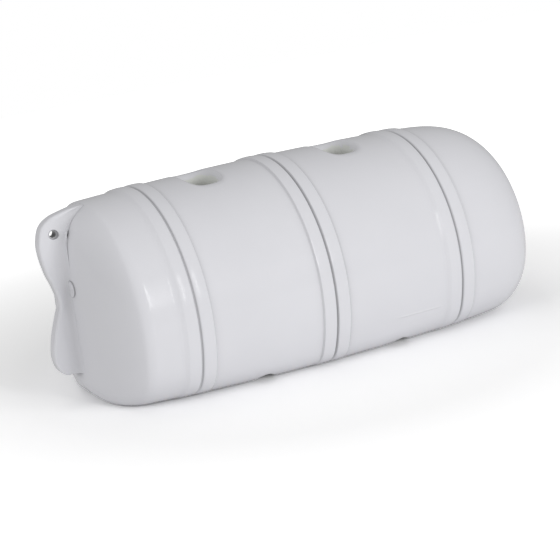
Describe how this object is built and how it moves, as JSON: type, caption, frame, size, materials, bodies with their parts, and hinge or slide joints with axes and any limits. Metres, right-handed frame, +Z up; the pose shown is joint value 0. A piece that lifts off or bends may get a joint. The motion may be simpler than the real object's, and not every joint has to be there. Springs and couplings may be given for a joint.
{
  "type": "boat fender",
  "caption": "Glossy white plastic fender with a round front and flat back, rings round it, fixing holes through it and a roped fin on one end.",
  "frame": {"origin": "under the middle of the whole length, on the flat back that it lies on", "axes": "+X along the fender, away from the end with the fin; +Y across it; +Z up from the flat back to the round front"},
  "size_m": [0.4592, 0.2218, 0.1803],
  "materials": {
    "white_plastic": "glossy off-white"
  },
  "bodies": {
    "root": {"fender_body": "white_plastic"}
  },
  "joints": []
}
